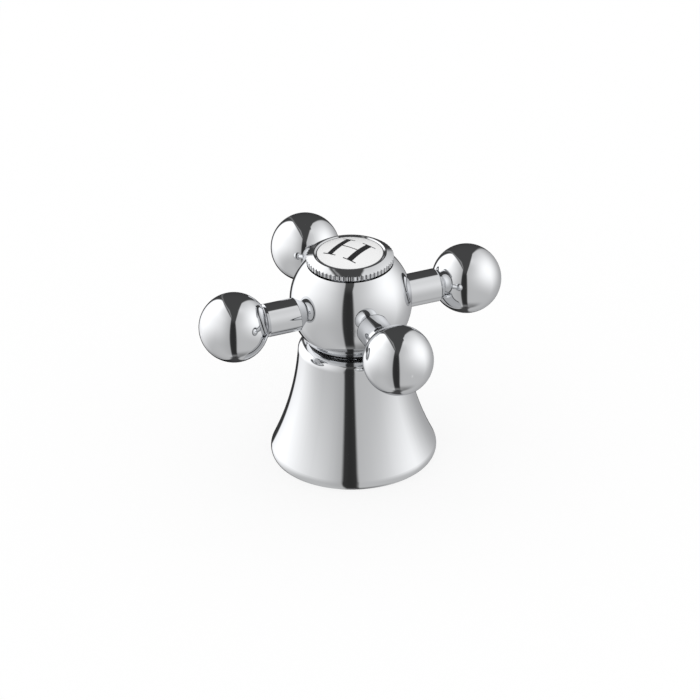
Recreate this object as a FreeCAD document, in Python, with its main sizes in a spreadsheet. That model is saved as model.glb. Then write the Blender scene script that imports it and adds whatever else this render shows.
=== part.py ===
"""Cross-head tap handle: a ball hub with four ball-ended arms that turns on a bell-shaped shroud.

Turned brass pieces, chrome plated. The hub drops onto a tap's splined spindle, a screw under the
index cap holds it there, and the shroud stands still on the tap below it. Millimetres, +Z up along
the turning axis, origin at the centre of the shroud's foot.
"""

import FreeCAD, Part
import math
import os

import Sketcher

FULL_TURN = 360
ARM_COUNT = 4

# Driving dimensions, in millimetres unless a count
SIZES = {
    # shroud
    "bell_height": 27.4,
    "rim_diameter": 36.55,
    "rim_round": 2.1,
    "rim_height": 1.17,
    "flank_radius": 68.3,
    "bell_wall": 2.4,
    "lip_round": 1.95,
    "lip_land": 0.39,
    "lip_chamfer": 0.1,
    "neck_depth": 3.8,
    "ledge_thickness": 2.4,
    "headwork_bore": 15,
    # hub
    "hub_diameter": 26.8,
    "hub_gap": 0.26,
    "journal_wall": 1.15,
    "headwork_clearance": 0.25,
    "journal_chamfer": 0.3,
    "recess_depth": 4.5,
    "web_thickness": 2.5,
    # bearing ring
    "ring_wall": 0.4,
    "ring_height": 1.2,
    "ring_drop": 0.35,
    # arms
    "arm_span": 70,
    "arm_diameter": 7.35,
    "arm_drop": 0.8,
    "ball_diameter": 15.35,
    "neck_chamfer": 0.4,
    "thread_diameter": 5,
    "thread_wall": 0.8,
    "thread_tip_gap": 0.3,
    "arm_embed": 0.05,
    # spline bush
    "bush_flats": 11,
    "bush_length": 11,
    "spline_diameter": 8.1,
    "spline_depth": 0.45,
    "spline_lead": 0.4,
    "spline_count": 20,
    # retaining screw
    "screw_diameter": 4,
    "screw_length": 8,
    "screw_head_diameter": 8,
    "screw_head_height": 3.0,
    "screw_head_round": 1.2,
    "drive_width": 1.1,
    "drive_span": 4.4,
    "drive_depth": 1.7,
    # index cap and disc
    "cap_height": 2.31,
    "cap_gap": 0.4,
    "cap_gap_depth": 1.45,
    "cap_rim_height": 1.42,
    "cap_dome_width": 1.52,
    "cap_dome_radius": 12,
    "cap_chamfer": 0.12,
    "bezel_chamfer": 0.35,
    "bezel_width": 0.26,
    "bezel_drop": 0.2,
    "bezel_stand": 0.21,
    "cap_floor": 1.3,
    "spigot_diameter": 14,
    "spigot_wall": 1.4,
    "spigot_length": 3.8,
    "bead_depth": 0.33,
    "bead_land": 0.1,
    "bead_count": 60,
    "disc_diameter": 14.8,
    "disc_edge": 1.0,
    "disc_dome": 1.3,
    # clearances
    "turning_clearance": 0.08,
    "thrust_clearance": 0.1,
    "thread_clearance": 0.05,
    "press_clearance": 0.02,
    "screw_clearance": 0.15,
    "socket_floor_gap": 1.2,
    "cut_overrun": 0.3,
}

# Radii and heights that follow from the driving dimensions
LEVELS = {
    "recess_r": "sizes.headwork_bore / 2 + sizes.headwork_clearance",
    "journal_r": "levels.recess_r + sizes.journal_wall",
    "neck_r": "levels.journal_r + sizes.turning_clearance",
    "ring_r": "levels.journal_r + sizes.press_clearance",
    "ring_outer_r": "levels.ring_r + sizes.ring_wall",
    "ring_top": "sizes.bell_height - sizes.ring_drop",
    "ring_bottom": "levels.ring_top - sizes.ring_height",
    "seat_r": "levels.ring_outer_r + sizes.turning_clearance",
    "seat_floor": "levels.ring_bottom - sizes.thrust_clearance",
    "lip_r": "levels.seat_r + sizes.lip_chamfer + sizes.lip_land + sizes.lip_round",
    "ledge_top": "sizes.bell_height - sizes.neck_depth",
    "ledge_bottom": "levels.ledge_top - sizes.ledge_thickness",
    "journal_bottom": "levels.ledge_top + sizes.thrust_clearance",
    "hub_r": "sizes.hub_diameter / 2",
    "journal_top": "sizes.bell_height + sizes.hub_gap",
    "hub_centre": "levels.journal_top + sqrt(levels.hub_r ^ 2 - levels.journal_r ^ 2)",
    "recess_top": "levels.journal_bottom + sizes.recess_depth",
    "disc_r": "sizes.disc_diameter / 2",
    "disc_seat_r": "levels.disc_r + sizes.press_clearance",
    "bezel_inner_r": "levels.disc_seat_r + sizes.bezel_chamfer",
    "bezel_r": "levels.bezel_inner_r + sizes.bezel_width",
    "cap_r": "levels.bezel_r + sizes.cap_dome_width",
    "cap_seat": "levels.hub_centre + sqrt(levels.hub_r ^ 2 - levels.cap_r ^ 2)",
    "cap_top": "levels.cap_seat + sizes.cap_height",
    "cap_rim_bottom": "levels.cap_seat + sizes.cap_gap",
    "cap_rim_top": "levels.cap_seat + sizes.cap_rim_height",
    "cap_neck_r": "levels.cap_r - sizes.cap_gap_depth",
    "bead_half": "levels.cap_r * sin(180 / sizes.bead_count) - sizes.bead_land / 2",
    "bead_r": "(levels.bead_half ^ 2 + sizes.bead_depth ^ 2) / (2 * sizes.bead_depth)",
    "disc_edge_top": "levels.cap_top - sizes.bezel_stand",
    "disc_seat": "levels.disc_edge_top - sizes.disc_edge",
    "spigot_r": "sizes.spigot_diameter / 2",
    "spigot_bore_r": "levels.spigot_r - sizes.spigot_wall",
    "spigot_bottom": "levels.cap_seat - sizes.spigot_length",
    "socket_r": "levels.spigot_r + sizes.thread_clearance",
    "web_top": "levels.spigot_bottom - sizes.socket_floor_gap",
    "web_bottom": "levels.web_top - sizes.web_thickness",
    "bush_bottom": "levels.web_bottom - sizes.bush_length",
    "bush_corner_r": "sizes.bush_flats / sqrt(3)",
    "spline_r": "sizes.spline_diameter / 2",
    "spline_root_r": "levels.spline_r - sizes.spline_depth",
    "screw_r": "sizes.screw_diameter / 2",
    "screw_hole_r": "levels.screw_r + sizes.screw_clearance",
    "arm_r": "sizes.arm_diameter / 2",
    "arm_height": "levels.hub_centre - sizes.arm_drop",
    "arm_seat": "sqrt(levels.hub_r ^ 2 - (levels.arm_r + sizes.arm_drop) ^ 2) - sizes.arm_embed",
    "ball_r": "sizes.ball_diameter / 2",
    "ball_centre": "sizes.arm_span / 2 - levels.ball_r",
    "ball_neck_r": "levels.arm_r - sizes.neck_chamfer",
    "ball_neck": "levels.ball_centre - sqrt(levels.ball_r ^ 2 - levels.ball_neck_r ^ 2)",
    "thread_r": "sizes.thread_diameter / 2",
    "thread_hole_end": "levels.bush_corner_r + sizes.thread_wall",
    "shank_end": "levels.thread_hole_end + sizes.thread_tip_gap",
}

doc = FreeCAD.newDocument("cross_head_tap_handle")
origin_point = (-1, 1)


def make_sheet(name, rows):
    """A spreadsheet with one aliased cell in column B for each row, and the alias beside it."""
    sheet = doc.addObject("Spreadsheet::Sheet", name)
    for line, (alias, content) in enumerate(rows.items(), start=1):
        sheet.set(f"A{line}", alias)
        sheet.set(f"B{line}", str(content))
        sheet.setAlias(f"B{line}", alias)
    doc.recompute()
    return sheet


sizes = make_sheet("sizes", SIZES)
levels = make_sheet("levels", {alias: f"={formula}" for alias, formula in LEVELS.items()})
doc.recompute()


def value(expression):
    """The present number of an expression on the two sheets."""
    return float(sizes.evalExpression(str(expression)))


def make_body(label):
    body = doc.addObject("PartDesign::Body", label)
    body.Label = label
    return body


def origin_feature(body, role):
    return next(f for f in body.Origin.OriginFeatures if f.Role == role)


def make_sketch(body, name, plane, offset="0"):
    """A sketch on one of the body's own origin planes, moved along its normal by an expression."""
    sketch = body.newObject("Sketcher::SketchObject", name)
    sketch.AttachmentSupport = [(origin_feature(body, plane), "")]
    sketch.MapMode = "FlatFace"
    sketch.setExpression("AttachmentOffset.Base.z", offset)
    return sketch


def bind(sketch, constraint, expression):
    """Adds a dimension to a sketch and ties it to an expression."""
    index = sketch.addConstraint(constraint)
    sketch.setExpression(f"Constraints[{index}]", str(expression))


def pin_point(sketch, point, across, up):
    """Places a sketch point by two dimensions from the sketch's origin."""
    bind(sketch, Sketcher.Constraint("DistanceX", *origin_point, *point, value(across)), across)
    bind(sketch, Sketcher.Constraint("DistanceY", *origin_point, *point, value(up)), up)


def vector(corner):
    return FreeCAD.Vector(value(corner[0]), value(corner[1]), 0)


def arc_between(start, end, radius, bulge):
    """A sketch arc through two points. Bulge +1 keeps its middle to the right of start to end, -1 left."""
    chord = end - start
    half = chord.Length / 2
    side = FreeCAD.Vector(chord.y, -chord.x, 0).normalize() * bulge
    centre = (start + end) / 2 - side * math.sqrt(max(radius**2 - half**2, 0))
    first, last = (start, end) if bulge > 0 else (end, start)
    angles = [math.atan2(p.y - centre.y, p.x - centre.x) for p in (first, last)]
    return Part.ArcOfCircle(Part.Circle(centre, FreeCAD.Vector(0, 0, 1), radius), *angles)


def draw_profile(sketch, corners):
    """Draws a closed outline through corners (across, up).

    A corner (across, up, radius, bulge) is followed by an arc, any other by a straight line.
    """
    ends = []
    for here, following in zip(corners, corners[1:] + corners[:1]):
        start, end = vector(here), vector(following)
        if len(here) == 2:
            index = sketch.addGeometry(Part.LineSegment(start, end))
            ends.append(((index, 1), (index, 2)))
        else:
            radius, bulge = here[2:]
            index = sketch.addGeometry(arc_between(start, end, value(radius), bulge))
            ends.append(((index, 1), (index, 2)) if bulge > 0 else ((index, 2), (index, 1)))
            bind(sketch, Sketcher.Constraint("Radius", index, value(radius)), radius)
    for corner, (first, _), (_, last) in zip(corners, ends, ends[-1:] + ends[:-1]):
        sketch.addConstraint(Sketcher.Constraint("Coincident", *last, *first))
        pin_point(sketch, first, corner[0], corner[1])
    return sketch


def draw_circle(sketch, radius, up="0"):
    """A circle on the sketch's vertical axis."""
    centre = FreeCAD.Vector(0, value(up), 0)
    index = sketch.addGeometry(Part.Circle(centre, FreeCAD.Vector(0, 0, 1), value(radius)))
    bind(sketch, Sketcher.Constraint("Radius", index, value(radius)), radius)
    pin_point(sketch, (index, 3), "0", up)
    return sketch


def revolve(body, sketch, axis="V_Axis"):
    turned = body.newObject("PartDesign::Revolution", f"{sketch.Name}_turned")
    turned.Profile = sketch
    turned.ReferenceAxis = (sketch, [axis])
    turned.Angle = FULL_TURN
    sketch.Visibility = False
    doc.recompute()
    return turned


def pad(body, sketch, length):
    grown = body.newObject("PartDesign::Pad", f"{sketch.Name}_pad")
    grown.Profile = sketch
    grown.setExpression("Length", length)
    doc.recompute()
    return grown


def pocket(body, sketch, along_normal, length=None):
    """Cuts a sketch into the body on one side, all the way or to a length, and makes sure that it cut."""
    before = body.Shape.Volume
    cut = body.newObject("PartDesign::Pocket", f"{sketch.Name}_cut")
    cut.Profile = sketch
    cut.Reversed = along_normal
    if length is None:
        cut.Type = "ThroughAll"
    else:
        cut.setExpression("Length", length)
    doc.recompute()
    if cut.Shape.Volume >= before:
        raise RuntimeError(f"{cut.Name} takes nothing away")
    return cut


def polar_pattern(body, features, count):
    """Repeats cuts evenly round the body's own Z axis."""
    pattern = body.newObject("PartDesign::PolarPattern", f"{features[0].Name}_pattern")
    pattern.Originals = features
    pattern.Axis = (origin_feature(body, "Z_Axis"), [""])
    pattern.Angle = FULL_TURN
    pattern.setExpression("Occurrences", str(count))
    body.Tip = pattern
    doc.recompute()
    return pattern


def hexagon(across_flats):
    """Corner expressions of a hexagon with two flats square to the sketch's vertical axis."""
    corner_r = f"({across_flats}) / sqrt(3)"
    return [(f"{corner_r} * cos({60 * i})", f"{corner_r} * sin({60 * i})") for i in range(6)]


def vee(tip_r, mouth_r):
    """Corner expressions of a 90 degree notch on the X axis, from its tip to its mouth."""
    half = f"abs(({mouth_r}) - ({tip_r}))"
    return [(tip_r, "0"), (mouth_r, f"-{half}"), (mouth_r, half)]


def make_bell():
    """The still shroud: a flared bell with a round lip, a ring seat, a neck for the hub and a ledge."""
    body = make_body("bell_shroud")
    sketch = make_sketch(body, "bell_section", "XZ_Plane")
    rim_centre = ("sizes.rim_diameter / 2 - sizes.rim_round", "sizes.rim_height")
    lip_start = ("levels.lip_r", "sizes.bell_height - sizes.lip_round")
    upright = FreeCAD.Vector(0, 0, 1)

    # the concave flank passes the lip and touches the rim's convex round
    lip_at, rim_at = vector(lip_start), vector(rim_centre)
    flank_r = value("sizes.flank_radius")
    round_r = value("sizes.rim_round")
    inner_r = flank_r + value("sizes.bell_wall")
    across = rim_at - lip_at
    along = (across.Length**2 + flank_r**2 - (flank_r + round_r) ** 2) / (2 * across.Length)
    unit = FreeCAD.Vector(across).normalize()
    outward = FreeCAD.Vector(-unit.y, unit.x, 0)
    flank_at = lip_at + unit * along + outward * math.sqrt(flank_r**2 - along**2)

    def on_circle(radius, height):
        return FreeCAD.Vector(flank_at.x - math.sqrt(radius**2 - (flank_at.y - height) ** 2), height, 0)

    touch = flank_at + (rim_at - flank_at).normalize() * flank_r
    foot = FreeCAD.Vector(rim_at.x + math.sqrt(round_r**2 - rim_at.y**2), 0, 0)
    inner_foot, inner_top = on_circle(inner_r, 0), on_circle(inner_r, value("levels.ledge_bottom"))

    def add_arc(centre, radius, first, last):
        angles = [math.atan2(p.y - centre.y, p.x - centre.x) % (2 * math.pi) for p in (first, last)]
        return sketch.addGeometry(Part.ArcOfCircle(Part.Circle(centre, upright, radius), *angles))

    flank = add_arc(flank_at, flank_r, lip_at, touch)
    rim = add_arc(rim_at, round_r, foot, touch)
    inner = add_arc(flank_at, inner_r, inner_top, inner_foot)
    foot_line = sketch.addGeometry(Part.LineSegment(inner_foot, foot))

    # ledge, neck, ring seat and lip, from the inner wall round to the start of the flank
    lip_arc_end = ("levels.lip_r - sizes.lip_round", "sizes.bell_height")
    corners = [
        ("sizes.headwork_bore / 2", "levels.ledge_bottom"),
        ("sizes.headwork_bore / 2", "levels.ledge_top"),
        ("levels.neck_r", "levels.ledge_top"),
        ("levels.neck_r", "levels.seat_floor"),
        ("levels.seat_r", "levels.seat_floor"),
        ("levels.seat_r", "sizes.bell_height - sizes.lip_chamfer"),
        ("levels.seat_r + sizes.lip_chamfer", "sizes.bell_height"),
        lip_arc_end,
    ]
    lines = [sketch.addGeometry(Part.LineSegment(inner_top, vector(corners[0])))]
    for here, following in zip(corners, corners[1:]):
        lines.append(sketch.addGeometry(Part.LineSegment(vector(here), vector(following))))
    lip = sketch.addGeometry(arc_between(lip_at, vector(lip_arc_end), value("sizes.lip_round"), 1))

    def join(first, second):
        sketch.addConstraint(Sketcher.Constraint("Coincident", *first, *second))

    join((flank, 1), (lip, 1))
    join((rim, 1), (foot_line, 2))
    join((foot_line, 1), (inner, 2))
    join((inner, 1), (lines[0], 1))
    for first, second in zip(lines, lines[1:]):
        join((first, 2), (second, 1))
    join((lines[-1], 2), (lip, 2))
    sketch.addConstraint(Sketcher.Constraint("Tangent", flank, 2, rim, 2))
    join((flank, 3), (inner, 3))
    sketch.addConstraint(Sketcher.Constraint("PointOnObject", rim, 1, -1))
    sketch.addConstraint(Sketcher.Constraint("PointOnObject", inner, 2, -1))
    sketch.addConstraint(Sketcher.Constraint("Horizontal", lines[0]))
    bind(sketch, Sketcher.Constraint("Radius", rim, round_r), "sizes.rim_round")
    bind(sketch, Sketcher.Constraint("Radius", flank, flank_r), "sizes.flank_radius")
    bind(sketch, Sketcher.Constraint("Radius", inner, inner_r), "sizes.flank_radius + sizes.bell_wall")
    bind(sketch, Sketcher.Constraint("Radius", lip, value("sizes.lip_round")), "sizes.lip_round")
    pin_point(sketch, (rim, 3), *rim_centre)
    pin_point(sketch, (flank, 1), *lip_start)
    for line, corner in zip(lines, corners):
        pin_point(sketch, (line, 2), *corner)
    revolve(body, sketch)
    return body


def make_hub():
    """The ball hub: a journal that turns in the shroud, a hexagon socket, a screw web and a cap socket."""
    body = make_body("hub")
    section = draw_profile(
        make_sketch(body, "hub_section", "XZ_Plane"),
        [
            ("levels.recess_r", "levels.journal_bottom"),
            ("levels.journal_r - sizes.journal_chamfer", "levels.journal_bottom"),
            ("levels.journal_r", "levels.journal_bottom + sizes.journal_chamfer"),
            ("levels.journal_r", "levels.journal_top", "levels.hub_r", 1),
            ("levels.cap_r", "levels.cap_seat"),
            ("levels.socket_r", "levels.cap_seat"),
            ("levels.socket_r", "levels.web_top"),
            ("levels.screw_hole_r", "levels.web_top"),
            ("levels.screw_hole_r", "levels.recess_top"),
            ("levels.recess_r", "levels.recess_top"),
        ],
    )
    revolve(body, section)

    socket = make_sketch(body, "bush_socket", "XY_Plane", "levels.web_bottom")
    draw_profile(socket, hexagon("sizes.bush_flats + 2 * sizes.press_clearance"))
    pocket(body, socket, along_normal=False)

    spot_face = make_sketch(body, "arm_spot_face", "YZ_Plane", "levels.arm_seat")
    draw_circle(spot_face, "levels.arm_r + sizes.thread_clearance", "levels.arm_height")
    tapped_hole = make_sketch(body, "arm_tapped_hole", "YZ_Plane", "levels.thread_hole_end")
    draw_circle(tapped_hole, "levels.thread_r + sizes.thread_clearance", "levels.arm_height")
    cuts = [pocket(body, sketch, along_normal=True) for sketch in (spot_face, tapped_hole)]
    polar_pattern(body, cuts, ARM_COUNT)
    return body


def make_ring():
    """The black bearing ring, pressed on the hub's journal, that turns in a seat in the shroud's lip."""
    body = make_body("bearing_ring")
    section = draw_profile(
        make_sketch(body, "ring_section", "XZ_Plane"),
        [
            ("levels.ring_r", "levels.ring_bottom"),
            ("levels.ring_outer_r", "levels.ring_bottom"),
            ("levels.ring_outer_r", "levels.ring_top"),
            ("levels.ring_r", "levels.ring_top"),
        ],
    )
    revolve(body, section)
    return body


def make_arm(label, turn):
    """One arm with its ball end, turned in one piece, and the threaded shank that screws into the hub."""
    body = make_body(label)
    section = draw_profile(
        make_sketch(body, f"{label}_section", "XZ_Plane"),
        [
            ("levels.shank_end", "0"),
            ("sizes.arm_span / 2", "0", "levels.ball_r", 1),
            ("levels.ball_neck", "levels.ball_neck_r"),
            ("levels.ball_neck - sizes.neck_chamfer", "levels.arm_r"),
            ("levels.arm_seat", "levels.arm_r"),
            ("levels.arm_seat", "levels.thread_r"),
            ("levels.shank_end", "levels.thread_r"),
        ],
    )
    revolve(body, section, axis="H_Axis")
    body.Placement.Rotation = FreeCAD.Rotation(FreeCAD.Vector(0, 0, 1), turn)
    body.setExpression("Placement.Base.z", "levels.arm_height")
    return body


def make_bush():
    """The hexagonal brass bush with internal splines, pressed into the hub from below."""
    body = make_body("spline_bush")
    outline = make_sketch(body, "bush_outline", "XY_Plane", "levels.bush_bottom")
    draw_profile(outline, hexagon("sizes.bush_flats"))
    pad(body, outline, "sizes.bush_length")
    bore = make_sketch(body, "bush_bore", "XY_Plane", "levels.bush_bottom")
    draw_circle(bore, "levels.spline_root_r")
    pocket(body, bore, along_normal=True)

    lead = draw_profile(
        make_sketch(body, "bush_lead_in", "XZ_Plane"),
        [
            ("0", "levels.bush_bottom"),
            ("levels.spline_r + sizes.spline_lead", "levels.bush_bottom"),
            ("0", "levels.bush_bottom + levels.spline_r + sizes.spline_lead"),
        ],
    )
    countersink = body.newObject("PartDesign::Groove", "bush_lead_in_cut")
    countersink.Profile = lead
    countersink.ReferenceAxis = (lead, ["V_Axis"])
    countersink.Angle = FULL_TURN
    doc.recompute()

    groove = make_sketch(body, "spline_groove", "XY_Plane", "levels.bush_bottom")
    draw_profile(groove, vee("levels.spline_r", "levels.spline_root_r - sizes.cut_overrun"))
    polar_pattern(body, [pocket(body, groove, along_normal=True)], "sizes.spline_count")
    return body


def make_screw():
    """The cross-drive pan-head screw that draws the hub down onto the spindle. Its thread is left plain."""
    body = make_body("retaining_screw")
    head_r = "sizes.screw_head_diameter / 2"
    head_top = "levels.web_top + sizes.screw_head_height"
    section = draw_profile(
        make_sketch(body, "screw_section", "XZ_Plane"),
        [
            ("0", "levels.web_top - sizes.screw_length"),
            ("levels.screw_r", "levels.web_top - sizes.screw_length"),
            ("levels.screw_r", "levels.web_top"),
            (head_r, "levels.web_top"),
            (head_r, f"{head_top} - sizes.screw_head_round", "sizes.screw_head_round", 1),
            (f"{head_r} - sizes.screw_head_round", head_top),
            ("0", head_top),
        ],
    )
    revolve(body, section)
    cross = make_sketch(body, "screw_drive", "XY_Plane", head_top)
    near, far = "sizes.drive_width / 2", "sizes.drive_span / 2"
    quarter = [(far, near), (near, near), (near, far)]
    corners = []
    for across, up in ((1, 1), (-1, 1), (-1, -1), (1, -1)):
        arm = [(f"{across} * {x}", f"{up} * {y}") for x, y in quarter]
        corners += arm if across * up > 0 else arm[::-1]
    draw_profile(cross, corners)
    pocket(body, cross, along_normal=False, length="sizes.drive_depth")
    return body


def make_cap():
    """The index cap: a beaded ring over a shadow gap, a recess for the disc and a screwed spigot."""
    body = make_body("index_cap")
    section = draw_profile(
        make_sketch(body, "cap_section", "XZ_Plane"),
        [
            ("levels.spigot_bore_r", "levels.spigot_bottom"),
            ("levels.spigot_r", "levels.spigot_bottom"),
            ("levels.spigot_r", "levels.cap_seat"),
            ("levels.cap_neck_r", "levels.cap_seat"),
            ("levels.cap_neck_r", "levels.cap_rim_bottom"),
            ("levels.cap_r - sizes.cap_chamfer", "levels.cap_rim_bottom"),
            ("levels.cap_r", "levels.cap_rim_bottom + sizes.cap_chamfer"),
            ("levels.cap_r", "levels.cap_rim_top", "sizes.cap_dome_radius", 1),
            ("levels.bezel_r", "levels.cap_top"),
            ("levels.bezel_inner_r", "levels.cap_top"),
            ("levels.disc_seat_r", "levels.cap_top - sizes.bezel_drop"),
            ("levels.disc_seat_r", "levels.disc_seat"),
            ("0", "levels.disc_seat"),
            ("0", "levels.disc_seat - sizes.cap_floor"),
            ("levels.spigot_bore_r", "levels.disc_seat - sizes.cap_floor"),
        ],
    )
    revolve(body, section)
    # the gap between two rounded beads, which runs out on the low dome above them
    gap = draw_profile(
        make_sketch(body, "bead_gap", "XY_Plane", "levels.cap_seat"),
        [
            ("levels.cap_r - sizes.bead_depth", "0", "levels.bead_r", -1),
            ("levels.cap_r", "-levels.bead_half"),
            ("levels.cap_r + sizes.cut_overrun", "-levels.bead_half"),
            ("levels.cap_r + sizes.cut_overrun", "levels.bead_half"),
            ("levels.cap_r", "levels.bead_half", "levels.bead_r", -1),
        ],
    )
    polar_pattern(body, [pocket(body, gap, along_normal=True)], "sizes.bead_count")
    return body


def make_disc():
    """The low-domed index disc that sits in the cap."""
    body = make_body("index_disc")
    section = draw_profile(
        make_sketch(body, "disc_section", "XZ_Plane"),
        [
            ("0", "levels.disc_seat"),
            ("levels.disc_r", "levels.disc_seat"),
            (
                "levels.disc_r",
                "levels.disc_edge_top",
                "(levels.disc_r ^ 2 + sizes.disc_dome ^ 2) / (2 * sizes.disc_dome)",
                1,
            ),
            ("0", "levels.disc_edge_top + sizes.disc_dome"),
        ],
    )
    revolve(body, section)
    return body


ARM_TURNS = {"arm_right": 0, "arm_back": 90, "arm_left": 180, "arm_front": 270}

bodies = [make_bell(), make_hub(), make_ring()]
bodies += [make_arm(label, turn) for label, turn in ARM_TURNS.items()]
bodies += [make_bush(), make_screw(), make_cap(), make_disc()]
doc.recompute()

for item in doc.Objects:
    if {"Invalid", "Error"} & set(item.State):
        raise RuntimeError(f"{item.Label} failed: {item.State}")
for body in bodies:
    if body.Shape.isNull() or not body.Shape.isValid() or len(body.Shape.Solids) != 1:
        raise RuntimeError(f"{body.Label} is not one valid solid")

os.makedirs("parts", exist_ok=True)
for body in bodies:
    body.Shape.exportStep(f"parts/{body.Label}.step")
    box = body.Shape.BoundBox
    print(f"{body.Label}: {body.Shape.Volume:.1f} mm3, z {box.ZMin:.2f} to {box.ZMax:.2f}")
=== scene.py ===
"""Chrome cross-head tap handle with a bell shroud, dressed for a studio picture."""

import math

import bpy
from mathutils import Matrix, Vector


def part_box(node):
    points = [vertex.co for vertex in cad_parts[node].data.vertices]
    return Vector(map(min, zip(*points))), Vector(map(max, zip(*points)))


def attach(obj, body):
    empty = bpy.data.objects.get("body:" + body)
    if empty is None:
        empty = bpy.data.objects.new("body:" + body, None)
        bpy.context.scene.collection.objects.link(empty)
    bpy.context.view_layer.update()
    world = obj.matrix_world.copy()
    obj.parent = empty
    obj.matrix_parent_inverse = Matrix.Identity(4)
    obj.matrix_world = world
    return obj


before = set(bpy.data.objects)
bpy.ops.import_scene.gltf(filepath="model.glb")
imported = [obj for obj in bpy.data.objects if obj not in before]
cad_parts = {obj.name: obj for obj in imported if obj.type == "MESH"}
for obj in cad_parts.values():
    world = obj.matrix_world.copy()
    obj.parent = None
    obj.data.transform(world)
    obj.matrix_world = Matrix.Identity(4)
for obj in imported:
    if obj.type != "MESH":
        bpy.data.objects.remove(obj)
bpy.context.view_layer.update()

# Bell shroud: a flared brass bell, turned and buffed, then nickel and chrome plated to a mirror.
# It stands still on the tap while the cross head turns in its neck.
MM = 0.001
CHROME = (0.79, 0.8, 0.815, 1)
GRAZING_TINT = (0.7, 0.7, 0.71, 1)
GLOSS_DETAIL = 5


def new_finish(name):
    """A fresh material, with its node tree's nodes and links, and its shader."""
    material = bpy.data.materials.new(name)
    material.use_nodes = True
    nodes, links = material.node_tree.nodes, material.node_tree.links
    return material, nodes, links, nodes["Principled BSDF"]


def mottle(nodes, links, scale, detail):
    """A cloudy pattern fixed to the piece."""
    place = nodes.new("ShaderNodeTexCoord")
    pattern = nodes.new("ShaderNodeTexNoise")
    pattern.inputs["Scale"].default_value = scale
    pattern.inputs["Detail"].default_value = detail
    links.new(place.outputs["Object"], pattern.inputs["Vector"])
    return pattern.outputs["Fac"]


def vary_gloss(nodes, links, shader, scale, low, high):
    """Spreads the roughness over a range by a cloudy pattern."""
    stretch = nodes.new("ShaderNodeMapRange")
    stretch.inputs["To Min"].default_value = low
    stretch.inputs["To Max"].default_value = high
    links.new(mottle(nodes, links, scale, GLOSS_DETAIL), stretch.inputs["Value"])
    links.new(stretch.outputs["Result"], shader.inputs["Roughness"])


def emboss(nodes, links, shader, scale, detail, strength, depth):
    """Presses a cloudy pattern into the surface."""
    bump = nodes.new("ShaderNodeBump")
    bump.inputs["Strength"].default_value = strength
    bump.inputs["Distance"].default_value = depth
    links.new(mottle(nodes, links, scale, detail), bump.inputs["Height"])
    links.new(bump.outputs["Normal"], shader.inputs["Normal"])


def plated_chrome(name, haze_scale):
    """Mirror chrome: buffing haze in the roughness and the faint ripple of the polished brass below."""
    material, nodes, links, shader = new_finish(name)
    shader.inputs["Base Color"].default_value = CHROME
    shader.inputs["Metallic"].default_value = 1
    shader.inputs["Specular Tint"].default_value = GRAZING_TINT
    vary_gloss(nodes, links, shader, scale=haze_scale, low=0.02, high=0.05)
    emboss(nodes, links, shader, scale=220, detail=1, strength=0.006, depth=0.1 * MM)
    return material


def dress(node, material):
    """Gives a carried-over solid its finish."""
    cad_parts[node].material_slots[0].material = material


dress("bell_shroud", plated_chrome("shroud_chrome", haze_scale=180))

# Bearing ring: a thin black acetal sleeve, turned from rod and pressed on the hub's journal.
# It runs in a seat in the shroud's lip and keeps the two chrome pieces from rubbing.
ACETAL_BLACK = (0.042, 0.042, 0.044, 1)
ACETAL_SHINE = 0.35
ring_black, nodes, links, acetal = new_finish("ring_acetal")
acetal.inputs["Base Color"].default_value = ACETAL_BLACK
acetal.inputs["Specular IOR Level"].default_value = ACETAL_SHINE
vary_gloss(nodes, links, acetal, scale=900, low=0.32, high=0.45)
emboss(nodes, links, acetal, scale=2500, detail=2, strength=0.15, depth=0.02 * MM)
dress("bearing_ring", ring_black)

# Hub: a turned brass ball with a journal below and flats spot-faced for the arms, chrome plated.
# It turns with the valve's spindle.
dress("hub", plated_chrome("hub_chrome", haze_scale=240))

# Arms: each one turned from bar with its ball end, chrome plated, and screwed into the hub.
# All four came off the same lathe, so they share one finish.
arm_chrome = plated_chrome("arm_chrome", haze_scale=320)
for arm in ("arm_right", "arm_back", "arm_left", "arm_front"):
    dress(arm, arm_chrome)

# Spline bush: a length of hexagon brass bar, broached inside, left bare and pressed into the hub.
# Its surface has the dull, fine grain of cut brass.
BARE_BRASS = (0.78, 0.6, 0.3, 1)


def bare_metal(name, colour, gloss_scale, low, high, grain_scale):
    """Metal without plating: an uneven gloss and a fine grain."""
    material, nodes, links, shader = new_finish(name)
    shader.inputs["Base Color"].default_value = colour
    shader.inputs["Metallic"].default_value = 1
    vary_gloss(nodes, links, shader, gloss_scale, low, high)
    emboss(nodes, links, shader, grain_scale, detail=3, strength=0.2, depth=0.03 * MM)
    return material


brass = bare_metal("bush_brass", BARE_BRASS, gloss_scale=700, low=0.22, high=0.4, grain_scale=1800)
dress("spline_bush", brass)

# Retaining screw: a stainless pan-head screw, cold formed, under the index cap.
# It draws the hub down onto the spindle.
STAINLESS = (0.62, 0.62, 0.63, 1)
steel = bare_metal("screw_stainless", STAINLESS, gloss_scale=1100, low=0.25, high=0.42, grain_scale=2200)
dress("retaining_screw", steel)

# Index cap: a ring with a beaded edge, turned and plated like the hub, that screws into it.
# Its bezel holds the disc. Painted shade darkens the grooves between the beads.
BEAD_COUNT = 60
BEAD_TOP = 48.6 * MM
BEAD_TOP_BLUR = 0.1 * MM
# The colour of the painted shade in the grooves between the beads.
GROOVE_SHADE = (0.42, 0.42, 0.43, 1)


def place_axes(nodes, links):
    """The X, Y and Z of each point of the piece."""
    axes = nodes.new("ShaderNodeSeparateXYZ")
    place = nodes.new("ShaderNodeTexCoord")
    links.new(place.outputs["Object"], axes.inputs["Vector"])
    return axes.outputs


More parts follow.
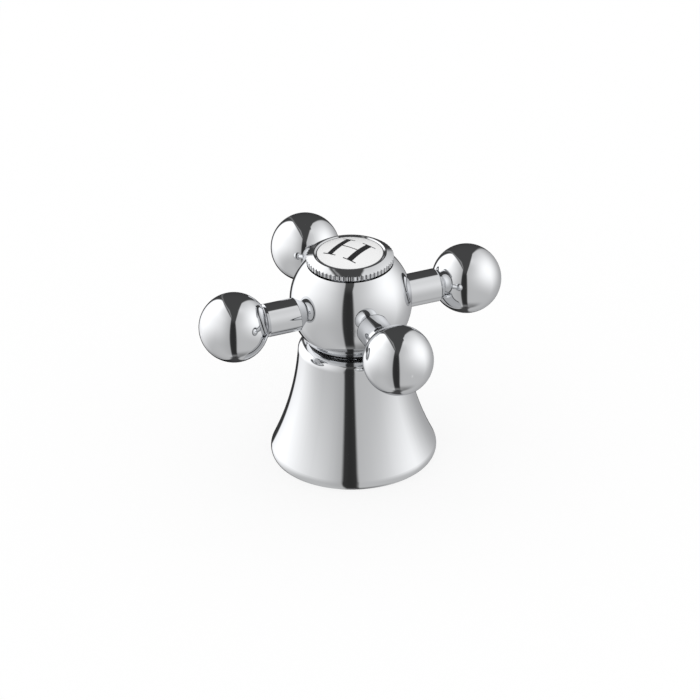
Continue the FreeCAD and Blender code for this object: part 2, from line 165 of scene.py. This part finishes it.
def fade(nodes, links, value, none, full):
    """A mask that grows from 0 to 1 between two values."""
    ramp = nodes.new("ShaderNodeMapRange")
    ramp.inputs["From Min"].default_value = none
    ramp.inputs["From Max"].default_value = full
    links.new(value, ramp.inputs["Value"])
    return ramp.outputs["Result"]


def reckon(nodes, links, operation, *values):
    """One step of arithmetic on patterns and numbers."""
    step = nodes.new("ShaderNodeMath")
    step.operation = operation
    for socket, value in zip(step.inputs, values):
        if isinstance(value, (int, float)):
            socket.default_value = value
        else:
            links.new(value, socket)
    return step.outputs["Value"]


def paint_shade(nodes, links, shader, mask, clean, shade_colour):
    """Colours the surface by a mask: clean, a colour or a pattern, at 0, and the painted shade's colour
    at 1.
    """
    paint = nodes.new("ShaderNodeMixRGB")
    paint.inputs["Color2"].default_value = shade_colour
    links.new(mask, paint.inputs["Fac"])
    if isinstance(clean, tuple):
        paint.inputs["Color1"].default_value = clean
    else:
        links.new(clean, paint.inputs["Color1"])
    links.new(paint.outputs["Color"], shader.inputs["Base Color"])


cap_chrome = plated_chrome("cap_chrome", haze_scale=400)
nodes, links = cap_chrome.node_tree.nodes, cap_chrome.node_tree.links
axes = place_axes(nodes, links)
around = reckon(nodes, links, "ARCTAN2", axes["Y"], axes["X"])
wave = reckon(nodes, links, "COSINE", reckon(nodes, links, "MULTIPLY", around, BEAD_COUNT))
groove = fade(nodes, links, wave, none=0.1, full=0.7)
under_slope = fade(nodes, links, axes["Z"], none=BEAD_TOP, full=BEAD_TOP - BEAD_TOP_BLUR)
# Painted shade: the chrome's colour is darkened in the grooves between the beads, below the beads' top.
groove_shade = reckon(nodes, links, "MULTIPLY", groove, under_slope)
paint_shade(nodes, links, nodes["Principled BSDF"], groove_shade, clean=CHROME, shade_colour=GROOVE_SHADE)
dress("index_cap", cap_chrome)

# Index disc: a low dome of glossy white enamel in the cap's bezel.
# The fired glaze has a faint orange peel, and a dark line of painted shade runs around its edge, at the
# gap to the bezel.
COOL_WHITE = (0.915, 0.918, 0.92, 1)
CLEAR_WHITE = (0.95, 0.95, 0.95, 1)
# A painted shade line on the disc, at the gap to the bezel: its radius, blur and colour.
EDGE_SHADE_RADIUS = 7.17 * MM
EDGE_SHADE_BLUR = 0.03 * MM
EDGE_SHADE = (0.09, 0.09, 0.095, 1)
disc_white, nodes, links, enamel = new_finish("disc_enamel")
tint = nodes.new("ShaderNodeValToRGB")
tint.color_ramp.elements[0].color = COOL_WHITE
tint.color_ramp.elements[1].color = CLEAR_WHITE
links.new(mottle(nodes, links, scale=350, detail=3), tint.inputs["Fac"])
axes = place_axes(nodes, links)
squares = [reckon(nodes, links, "MULTIPLY", axes[axis], axes[axis]) for axis in "XY"]
from_axis = reckon(nodes, links, "SQRT", reckon(nodes, links, "ADD", *squares))
# Painted shade: the colour goes dark in a thin line around the disc's edge.
edge_shade_mask = fade(nodes, links, from_axis, none=EDGE_SHADE_RADIUS - EDGE_SHADE_BLUR, full=EDGE_SHADE_RADIUS + EDGE_SHADE_BLUR)
paint_shade(nodes, links, enamel, edge_shade_mask, clean=tint.outputs["Color"], shade_colour=EDGE_SHADE)
vary_gloss(nodes, links, enamel, scale=600, low=0.1, high=0.2)
emboss(nodes, links, enamel, scale=900, detail=2, strength=0.03, depth=0.05 * MM)
dress("index_disc", disc_white)

# Letter: the hot mark, a serif capital printed in thick black enamel over the disc's dome.
# It is cut from a flat sheet along its stroke edges, laid over the dome and given the ink's thickness.
LETTER_TURN = math.radians(-56.45)
LETTER_CENTRE = (-0.08 * MM, 0.13 * MM)
LETTER_WIDTH = 8.5 * MM
LETTER_HEIGHT = 7.8 * MM
LETTER_CUTS = 7
STEMS = ((-3.25 * MM, -2 * MM), (1.93 * MM, 3.27 * MM))
SERIFS = ((-4.25 * MM, -1.05 * MM), (0.95 * MM, 4.25 * MM))
SERIF_THICKNESS = 0.22 * MM
CROSSBAR = (0.18 * MM, 0.4 * MM)
DROP_HEIGHT = 1 * MM
INK = 0.05 * MM
INK_SHIFT = 0.4
INK_BLACK = (0.026, 0.026, 0.028, 1)
SHARP_EDGE = math.radians(30)

stroke_columns = sorted(x for span in STEMS + SERIFS for x in span)
serif_edge = LETTER_HEIGHT / 2 - SERIF_THICKNESS


def in_letter(x, y):
    """Whether a point of the sheet is on one of the letter's strokes."""
    on_stem = any(low < x < high for low, high in STEMS)
    on_serif = any(low < x < high for low, high in SERIFS) and abs(y) > serif_edge
    on_bar = STEMS[0][1] < x < STEMS[1][0] and CROSSBAR[0] < y < CROSSBAR[1]
    return on_stem or on_serif or on_bar


bpy.ops.object.select_all(action="DESELECT")
bpy.ops.mesh.primitive_plane_add(size=1)
letter = bpy.context.object
letter.name = "index_letter"
bpy.ops.object.mode_set(mode="EDIT")
bpy.ops.mesh.select_mode(type="FACE")
bpy.ops.transform.resize(value=(LETTER_WIDTH, LETTER_HEIGHT, 1))
cuts = [((x, 0, 0), (1, 0, 0)) for x in stroke_columns[1:-1]]
cuts += [((0, y, 0), (0, 1, 0)) for y in (-serif_edge, *CROSSBAR, serif_edge)]
for through, across in cuts:
    bpy.ops.mesh.select_all(action="SELECT")
    bpy.ops.mesh.bisect(plane_co=through, plane_no=across)
bpy.ops.mesh.select_all(action="DESELECT")
bpy.ops.object.mode_set(mode="OBJECT")
for face in letter.data.polygons:
    face.select = not in_letter(face.center.x, face.center.y)
bpy.ops.object.mode_set(mode="EDIT")
bpy.ops.mesh.delete(type="FACE")
bpy.ops.mesh.select_all(action="SELECT")
bpy.ops.mesh.subdivide(number_cuts=LETTER_CUTS)
bpy.ops.object.mode_set(mode="OBJECT")
disc_low, disc_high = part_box("index_disc")
letter.rotation_euler.z = LETTER_TURN
letter.location = (*LETTER_CENTRE, disc_high.z + DROP_HEIGHT)
bpy.ops.object.transform_apply()
drape = letter.modifiers.new("drape", "SHRINKWRAP")
drape.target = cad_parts["index_disc"]
drape.wrap_method = "PROJECT"
drape.use_project_z = True
drape.use_positive_direction = False
drape.use_negative_direction = True
bpy.ops.object.modifier_apply(modifier="drape")
ink = letter.modifiers.new("ink", "SOLIDIFY")
ink.thickness = INK
ink.offset = INK_SHIFT
bpy.ops.object.modifier_apply(modifier="ink")
bpy.ops.object.shade_smooth_by_angle(angle=SHARP_EDGE)
letter_ink, nodes, links, gloss = new_finish("letter_ink")
gloss.inputs["Base Color"].default_value = INK_BLACK
vary_gloss(nodes, links, gloss, scale=1500, low=0.15, high=0.3)
emboss(nodes, links, gloss, scale=1200, detail=2, strength=0.05, depth=0.03 * MM)
letter.data.materials.append(letter_ink)
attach(letter, "cross_head")

# Light tent: two white cloth walls around the handle, with a slit for the camera between them.
# The gap in the roof over them opens in a V to the back. The tent shows only in reflections.
# Its angles are in degrees, to the right of the camera and above the horizon.
CAMERA_AZIMUTH = -21.236
TENT_RADIUS = 0.4
TENT_STRETCH = 2.5
TENT_SEGMENTS = 360
TENT_RINGS = 180
WALL_TOP = 100  # past the zenith, so that only the lower corners are round
CORNER_POWER = 6
EDGE_BLUR = 0.035
ROOF_BLUR = 2
FOOT_BLUR = 30
TOP_DIMMING = 0.65

LEFT_FRONT = -16
LEFT_BACK = -154
LEFT_BACK_LEAN = 0.12
LEFT_BACK_DENT = 7
LEFT_BOTTOM = -82
LEFT_ROOF_GAP = 0.367
LEFT_ROOF_OPENING = 0.29
LEFT_FOOT = -2
LEFT_FOOT_FALL = 0.5
LEFT_FOOT_TURN = -60
LEFT_GREY = 0.35
LEFT_GREY_RISE = 0.06
LEFT_LIGHT = 0.007  # for each degree away from its start
LEFT_LIGHT_START = -14
LEFT_LIGHT_REACH = 100

RIGHT_FRONT = 5
RIGHT_BACK = 160
RIGHT_BACK_LEAN = 0.2
RIGHT_BOTTOM = -84
RIGHT_ROOF_GAP = 0.257
RIGHT_ROOF_OPENING = 0.17
RIGHT_FOOT = -15
RIGHT_FOOT_RISE = 0.35
RIGHT_GREY = 0.41
RIGHT_GREY_FALL = 0.26
RIGHT_LIGHT = 0.55
RIGHT_LIGHT_MIDDLE = 90

UNLIT = 0.055
SLIT_SHADE = 0.03
ROOF_SEAM_LIGHT = 0.2
ROOF_SEAM_HEIGHT = 5
LOW_FRONT_LIGHT = 0.14
LOW_BACK_SHADE = 0.3


def soft_step(x, none, full):
    """Goes smoothly from 0 to 1 between two values."""
    part = min(max((x - none) / (full - none), 0), 1)
    return part * part * (3 - 2 * part)


def bell_curve(x, middle, width):
    """A smooth bump of height 1."""
    return math.exp(-0.5 * ((x - middle) / width) ** 2)


def roof_edge(turn, gap, opening):
    """Up to what elevation a wall stands, by its degrees from the camera: the roof's gap opens in a V."""
    turn = math.radians(turn)
    return math.degrees(math.atan2(math.sin(turn) + opening * math.cos(turn), gap))


def wall_mask(azimuth, elevation, left, right, bottom, roof):
    """1 on a wall with round lower corners that ends under the roof's edge, and 0 beside it."""
    across = abs((2 * azimuth - left - right) / (right - left))
    up = abs((2 * elevation - bottom - WALL_TOP) / (WALL_TOP - bottom))
    reach = (across**CORNER_POWER + up**CORNER_POWER) ** (1 / CORNER_POWER)
    inside = soft_step(reach, none=1 + EDGE_BLUR, full=1 - EDGE_BLUR)
    return inside * soft_step(elevation - roof, none=ROOF_BLUR, full=-ROOF_BLUR)


def left_roof(azimuth):
    """The roof's edge over the left wall."""
    return roof_edge(-azimuth, LEFT_ROOF_GAP, LEFT_ROOF_OPENING)


def left_wall(azimuth, elevation):
    """The glow of the wall on the camera's left, which grows away from the slit and above its foot."""
    back = LEFT_BACK + LEFT_BACK_LEAN * max(elevation, 0)
    back += LEFT_BACK_DENT * bell_curve(elevation, middle=-28, width=13)
    mask = wall_mask(azimuth, elevation, back, LEFT_FRONT, LEFT_BOTTOM, left_roof(azimuth))
    past_start = min(max(LEFT_LIGHT_START - azimuth, 0), LEFT_LIGHT_REACH)
    light = LEFT_LIGHT * past_start * (1 - TOP_DIMMING * soft_step(elevation, none=40, full=75))
    foot = LEFT_FOOT - LEFT_FOOT_FALL * max(LEFT_FOOT_TURN - azimuth, 0)
    grey = LEFT_GREY + LEFT_GREY_RISE * soft_step(azimuth, none=-14, full=-60)
    return mask * (grey + light * soft_step(elevation, foot - FOOT_BLUR, foot + FOOT_BLUR))


def right_wall(azimuth, elevation):
    """The glow of the wall on the camera's right, which is lit around its middle and grey below."""
    back = RIGHT_BACK - RIGHT_BACK_LEAN * elevation
    roof = roof_edge(azimuth, RIGHT_ROOF_GAP, RIGHT_ROOF_OPENING)
    mask = wall_mask(azimuth, elevation, RIGHT_FRONT, back, RIGHT_BOTTOM, roof)
    light = RIGHT_LIGHT * bell_curve(azimuth, RIGHT_LIGHT_MIDDLE, width=35)
    light *= 1 - TOP_DIMMING * soft_step(elevation, none=25, full=70)
    foot = RIGHT_FOOT + RIGHT_FOOT_RISE * abs(azimuth - RIGHT_LIGHT_MIDDLE)
    low_shade = soft_step(elevation, none=-54, full=-76) * soft_step(azimuth, none=110, full=60)
    grey = RIGHT_GREY - RIGHT_GREY_FALL * low_shade
    return mask * (grey + light * soft_step(elevation, foot - FOOT_BLUR, foot + FOOT_BLUR))


def tent_glow(azimuth, elevation):
    """The tent's light in a direction, raised by what the chrome takes from it."""
    slit = bell_curve(azimuth, middle=-5, width=12) * soft_step(elevation, none=55, full=35)
    seam = bell_curve(elevation, left_roof(azimuth) + ROOF_SEAM_HEIGHT, width=1.2)
    seam *= soft_step(azimuth, none=-10, full=-22)
    low_front = bell_curve(elevation, middle=-76, width=4) * bell_curve(azimuth, middle=-8, width=22)
    low_back = bell_curve(azimuth, middle=-143, width=11) * bell_curve(elevation, middle=-49, width=10)
    glow = UNLIT - SLIT_SHADE * slit
    glow += left_wall(azimuth, elevation)
    glow += right_wall(azimuth, elevation)
    glow += ROOF_SEAM_LIGHT * seam
    glow += LOW_FRONT_LIGHT * low_front
    glow -= LOW_BACK_SHADE * low_back
    return max(glow, 0) / CHROME[1]


arm_low, arm_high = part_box("arm_right")
arm_centre = Vector((0, 0, (arm_low.z + arm_high.z) / 2))
bpy.ops.object.select_all(action="DESELECT")
bpy.ops.mesh.primitive_uv_sphere_add(segments=TENT_SEGMENTS, ring_count=TENT_RINGS, radius=TENT_RADIUS)
tent = bpy.context.object
tent.name = "light_tent"
tent.scale.z = TENT_STRETCH
bpy.ops.object.transform_apply()
glow_levels = tent.data.attributes.new("glow", "FLOAT", "POINT")
for vertex in tent.data.vertices:
    direction = vertex.co.normalized()
    from_camera = math.degrees(math.atan2(direction.x, -direction.y)) - CAMERA_AZIMUTH
    from_camera = (from_camera + 180) % 360 - 180
    over_horizon = math.degrees(math.asin(direction.z))
    glow_levels.data[vertex.index].value = tent_glow(from_camera, over_horizon)
tent.location = arm_centre
bpy.ops.object.transform_apply()
cloth = bpy.data.materials.new("tent_cloth")
cloth.use_nodes = True
nodes, links = cloth.node_tree.nodes, cloth.node_tree.links
nodes.remove(nodes["Principled BSDF"])
emit = nodes.new("ShaderNodeEmission")
level = nodes.new("ShaderNodeAttribute")
level.attribute_name = "glow"
links.new(level.outputs["Fac"], emit.inputs["Strength"])
links.new(emit.outputs["Emission"], nodes["Material Output"].inputs["Surface"])
cloth.cycles.emission_sampling = "NONE"
tent.data.materials.append(cloth)
tent.visible_camera = False
tent.visible_diffuse = False
tent.visible_shadow = False
tent.visible_transmission = False

# Floor: a wide sheet of white paper, partly lit from below, so the shadow on it is weak.
# Reflections show the tent's lower half in its place.
WHITE = (1, 1, 1, 1)
FLOOR_SIZE = 8
LIT_FROM_BELOW = 0.75
bpy.ops.object.select_all(action="DESELECT")
bpy.ops.mesh.primitive_plane_add(size=FLOOR_SIZE)
floor = bpy.context.object
floor.name = "floor"
floor_white, nodes, links, paper = new_finish("floor_white")
paper.inputs["Base Color"].default_value = WHITE
paper.inputs["Roughness"].default_value = 1
paper.inputs["Specular IOR Level"].default_value = 0
lit_through = nodes.new("ShaderNodeEmission")
lit_through.inputs["Strength"].default_value = 1
light_path = nodes.new("ShaderNodeLightPath")
seen = light_path.outputs["Is Camera Ray"]
for ray in ("Is Glossy Ray", "Is Transmission Ray"):
    seen = reckon(nodes, links, "MAXIMUM", seen, light_path.outputs[ray])
paper_light = nodes.new("ShaderNodeMixShader")
links.new(reckon(nodes, links, "MULTIPLY", seen, LIT_FROM_BELOW), paper_light.inputs["Fac"])
links.new(paper.outputs["BSDF"], paper_light.inputs[1])
links.new(lit_through.outputs["Emission"], paper_light.inputs[2])
links.new(paper_light.outputs["Shader"], nodes["Material Output"].inputs["Surface"])
floor.data.materials.append(floor_white)
floor.visible_glossy = False

# Sky: even white light from all around.
# It lights the enamel, the ink, the ring and the floor.
sky = bpy.data.worlds.new("white_sky")
sky.use_nodes = True
sky.node_tree.nodes["Background"].inputs["Color"].default_value = WHITE
sky.node_tree.nodes["Background"].inputs["Strength"].default_value = 1
bpy.context.scene.world = sky

# Camera: a long lens that looks down on the handle between its left and front arms.
# Its distance is from the middle of the arms, and it aims a little off that point to frame the handle.
CAMERA_ELEVATION = 29.523
CAMERA_ROLL = -1.1
CAMERA_DISTANCE = 1.3
CAMERA_SIGHT = 10
FOCAL_LENGTH = 306.3
AIM_RIGHT = -0.199 * MM
AIM_UP = -10.36 * MM
azimuth, elevation = math.radians(CAMERA_AZIMUTH), math.radians(CAMERA_ELEVATION)
back = Vector((
    math.sin(azimuth) * math.cos(elevation),
    -math.cos(azimuth) * math.cos(elevation),
    math.sin(elevation),
))
right = Vector((math.cos(azimuth), math.sin(azimuth), 0))
right = Matrix.Rotation(math.radians(CAMERA_ROLL), 3, back) @ right
up = back.cross(right)
eye = arm_centre + back * CAMERA_DISTANCE
target = arm_centre + right * AIM_RIGHT + up * AIM_UP
back = (eye - target).normalized()
right = (right - back * right.dot(back)).normalized()
up = back.cross(right)
camera = bpy.data.objects.new("camera", bpy.data.cameras.new("camera"))
bpy.context.scene.collection.objects.link(camera)
camera.matrix_world = Matrix((right, up, back)).transposed().to_4x4()
camera.location = eye
camera.data.lens = FOCAL_LENGTH
camera.data.clip_end = CAMERA_SIGHT
bpy.context.scene.camera = camera
bpy.context.scene.view_settings.view_transform = "Standard"
